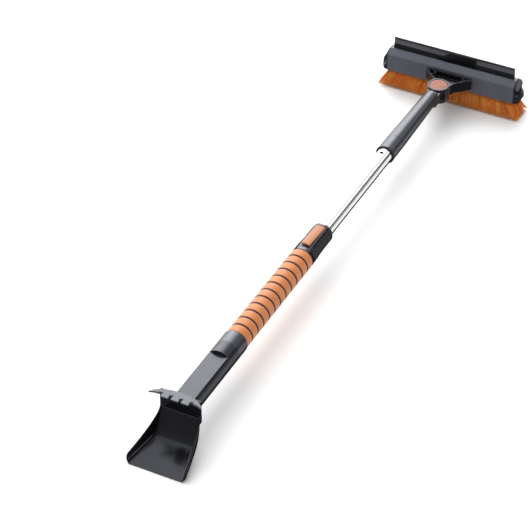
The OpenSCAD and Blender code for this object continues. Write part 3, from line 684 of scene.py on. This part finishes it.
class Scoop:
    """The scoop's measures by distance d from its back wall."""

    def __init__(self):
        low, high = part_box("scraper_scoop")
        self.back_y = high.y
        self.run = high.y - low.y

    def front(self, d):
        """0 up to the thinned front, 1 at the scraping edge."""
        return min(1.0, max(0.0, d - self.run + SCOOP_FRONT) / SCOOP_FRONT)

    def floor(self, d):
        dip = FLOOR_DIP * (1 - math.exp(-d / DIP_LENGTH))
        return POLE_Z - FLOOR_TOP - dip - FLOOR_SLOPE * d / self.run

    def rim(self, d):
        lowest = self.floor(d) + LOWEST_RIM
        side = POLE_Z - RIM_SLOPE * (d / self.run) ** RIM_CURVE
        return lowest + (side - lowest) * math.sqrt(max(0.0, 1 - self.front(d) ** 2))

    def half(self, d):
        """Half width outside; the front corners are rounded in plan."""
        c = max(0.0, d - self.run + SCOOP_CORNER)
        corner = math.sqrt(max(0.0, SCOOP_CORNER ** 2 - 0.98 * c * c))
        return SCOOP_HALF_NECK + SCOOP_SPLAY * d - SCOOP_CORNER + corner

    def section(self, d):
        """Closed outline of the wall: outside down and across, lip, inside back."""
        thick = SCOOP_EDGE + (SCOOP_WALL - SCOOP_EDGE) * (1 - self.front(d))
        base, top, wide = self.floor(d), self.rim(d), self.half(d)

        def half_u(width, bottom, radius):
            radius = max(0.05 * MM, min(radius, (top - bottom) * 0.8))
            angles = (math.pi / 2 * i / FILLET_STEPS for i in range(FILLET_STEPS + 1))
            return [(width - radius + radius * math.cos(a), bottom + radius - radius * math.sin(a))
                    for a in angles]

        lip = thick * 0.5
        outer = half_u(wide, base - thick, SCOOP_FILLET + thick)
        inner = half_u(wide - thick, base, SCOOP_FILLET)
        roll = min(lip, max(0.0, (top - base) * 0.4))
        edge = [
            (wide - thick, top - roll), (wide - thick + lip * 0.3, top - roll * 0.3),
            (wide - lip, top), (wide - lip * 0.3, top - roll * 0.3), (wide, top - roll),
        ]
        right = edge + outer
        left = [(-x, z) for x, z in reversed(right)]
        inside = [(-x, z) for x, z in inner] + list(reversed(inner))
        return [(x, self.back_y - d, max(z, 0.0)) for x, z in right + left + inside]


def scraper_scoop(material):
    """Smooth scoop with rolled rims, a fine scraping edge and rounded front corners."""
    scoop = Scoop()
    sections = []
    for i in range(SCOOP_STATIONS + 1):
        u = i / SCOOP_STATIONS
        sections.append(scoop.section(scoop.run * (1 - (1 - u) ** STATION_CROWDING) * JUST_SHORT))
    mesh = lofted("scoop_shell", sections)
    smooth(mesh, 50)
    new_object("scoop_shell", mesh, material, "handle", "scraper_scoop")


# ---------- carried-over nodes ----------

# width of the rounded edges in mm
ROUNDED = {
    "lock_lever": 0.55, "lock_collar": 0.35, "lock_end_ring": 0.25, "hub_cap": 0.35,
    "pivot_button": 0.25, "pivot_bracket": 0.5, "brush_housing": 0.6,
    "squeegee_holder": 0.4, "squeegee_clip": 0.6, "scraper_arm": 0.6, "ice_comb": 0.5,
    "pole_ferrule": 0.3, "neck_arm": 0.3, "neck_socket": 0.3, "neck_end_rim": 0.25,
}
SATIN_NODES = ("neck_arm", "neck_socket", "pole_ferrule", "lock_collar", "lock_end_ring")


def paint_nodes(materials):
    """Each carried-over CAD node gets its slot's material, and rounded edges where they show.

    The turned pieces of the pole are glossier, and the lever's pin is blued.
    """
    for part in frame["record"]["subparts"]:
        piece = NODES[part["node"]]
        piece.data.materials.clear()
        piece.data.materials.append(materials[part["material_slot"]])
    satin = moulded(
        "satin_neck", (0.020, 0.0205, 0.025), 0.30, 0.08, 0.45, (0.10, 0.102, 0.11), 0.9)
    for node in SATIN_NODES:
        NODES[node].data.materials[0] = satin
    NODES["lever_pivot_pin"].data.materials[0] = zinc("blued_steel", 0.22)
    for node, width in ROUNDED.items():
        rounded(node, width)
    sculpted("housing_end_caps", 0.55, 14)


# ---------- stage ----------

FLOOR_HALF, FLOOR_GAP = 30.0, 0.4 * MM


def floor():
    """Pale ground just below the object; it lights the object but isn't mirrored in it."""
    half = FLOOR_HALF
    corners = [(-half, -half, 0), (half, -half, 0), (half, half, 0), (-half, half, 0)]
    mesh = bpy.data.meshes.new("floor")
    mesh.from_pydata(corners, [], [(0, 1, 2, 3)])
    made = bpy.data.objects.new("floor", mesh)
    bpy.context.scene.collection.objects.link(made)
    made.location.z = -FLOOR_GAP
    mesh.materials.append(Shader("pale_floor", (0.96, 0.96, 0.96), 0.9, specular=0.1).material)
    made.visible_glossy = False


def area_light(name, place, width, height, power, aim=(0, 0, 0.05)):
    light = bpy.data.lights.new(name, "AREA")
    light.shape = "RECTANGLE"
    light.size, light.size_y, light.energy = width, height, power
    made = bpy.data.objects.new(name, light)
    bpy.context.scene.collection.objects.link(made)
    made.location = place
    made.rotation_mode = "QUATERNION"
    made.rotation_quaternion = (Vector(aim) - Vector(place)).to_track_quat("-Z", "Y")


def lights():
    """Softboxes behind left, overhead and behind right, and a fill from the right."""
    area_light("back_softbox", (-1.15, 2.2, 2.0), 2.6, 1.8, 42)
    area_light("top_softbox", (-1.0, -0.1, 2.6), 2.0, 2.0, 13)
    area_light("right_softbox", (1.6, 2.3, 1.45), 0.9, 1.2, 2.7)
    area_light("side_fill", (2.4, 0.1, 0.9), 1.2, 0.8, 13, (0, 0.3, 0.05))


# brightness of the sky, from 0 opposite SKY_GLOW to 1 at it
SKY_STOPS = [
    (0.38, 0.04), (0.52, 0.10), (0.66, 0.34), (0.77, 0.50), (0.87, 1.10), (0.925, 2.3), (0.98, 3.2),
]
SKY_GLOW, FRONT_GLOW = (-0.55, 0.65, 0.52), (-0.35, -0.85, 0.40)
RIGHT, LEFT, BACK, UP, DOWN = (1, 0, 0), (-1, 0, 0), (0, 1, 0), (0, 0, 1), (0, 0, -1)


def studio():
    """The room: a sky that glows behind left and faintly in front, and the ground in gloss."""
    world = bpy.data.worlds.new("studio")
    bpy.context.scene.world = world
    world.use_nodes = True
    t = Tree(world.node_tree)
    direction = t.coordinates("Generated")

    def toward(axis, low, high):
        """0 to 1 as the ray turns from low to high along an axis."""
        along = t.vector("DOT_PRODUCT", direction, axis).outputs["Value"]
        return t.remap(along, 0.0, 1.0, low, high)

    def both(first, second):
        return t.arithmetic("MULTIPLY", first, second)

    def either(first, second):
        return t.arithmetic("MAXIMUM", first, second)

    stops = [(position, (value, value, value)) for position, value in SKY_STOPS]
    glow = t.ramp(toward(SKY_GLOW, -1.0, 1.0), stops)
    sky = t.vector("ADD", glow, both(toward(FRONT_GLOW, 0.0, 1.0), 0.60)).outputs["Vector"]

    # a dark flag low behind right, which draws a fine dark line along round gloss
    flag = both(toward(RIGHT, 0.45, 0.55), toward(DOWN, -0.27, -0.20))
    flag = both(flag, toward(BACK, 0.35, 0.50))
    flagged = t.vector("SCALE", sky)
    t.link(t.remap(flag, 1.0, 0.05, 0.0, 1.0), flagged.inputs["Scale"])

    # below the horizon: pale ground on the right and behind left, dark elsewhere behind
    behind = toward(BACK, 0.15, 0.35)
    reach = either(both(behind, toward(UP, -0.60, -0.55)), toward(UP, -0.36, -0.28))
    right = both(toward(RIGHT, 0.38, 0.44), reach)
    left = both(toward(LEFT, 0.24, 0.34), behind)
    ground = t.remap(either(right, left), 0.02, 1.0, 0.0, 1.0)
    below = both(toward(DOWN, 0.05, 0.10), either(behind, right))
    colour = t.mix(below, flagged.outputs["Vector"], ground)
    t.link(colour, t.tree.nodes["Background"].inputs["Color"])


CAMERA_PLACE = (1.1758, -2.5121, 2.1749)
CAMERA_RIGHT = Vector((0.8920, 0.4520, 0.0))
CAMERA_FORWARD = Vector((-0.35499, 0.70063, -0.61895))
LENS_MM, SENSOR_MM = 153.9, 36.0


def camera():
    """The viewing angle of the picture: from the right of the scraper's end, 38 degrees up."""
    data = bpy.data.cameras.new("camera")
    data.sensor_width = SENSOR_MM
    data.lens = LENS_MM
    data.clip_start, data.clip_end = 0.1, 60.0
    made = bpy.data.objects.new("camera", data)
    bpy.context.scene.collection.objects.link(made)
    forward = CAMERA_FORWARD.normalized()
    up = CAMERA_RIGHT.cross(forward).normalized()
    right = forward.cross(up).normalized()
    made.location = CAMERA_PLACE
    made.rotation_mode = "QUATERNION"
    made.rotation_quaternion = Matrix((right, up, -forward)).transposed().to_quaternion()
    bpy.context.scene.camera = made


def view_settings():
    settings = bpy.context.scene.view_settings
    settings.view_transform = "Standard"
    settings.look = "None"


# ---------- build ----------

materials = all_materials()
paint_nodes(materials)
foam_grip(materials["foam"])
BristleField().build(materials["bristle"])
button_spring(materials["steel"])
squeegee_rubber(materials["rubber"])
scraper_scoop(materials["gloss_black"])
floor()
lights()
studio()
camera()
view_settings()
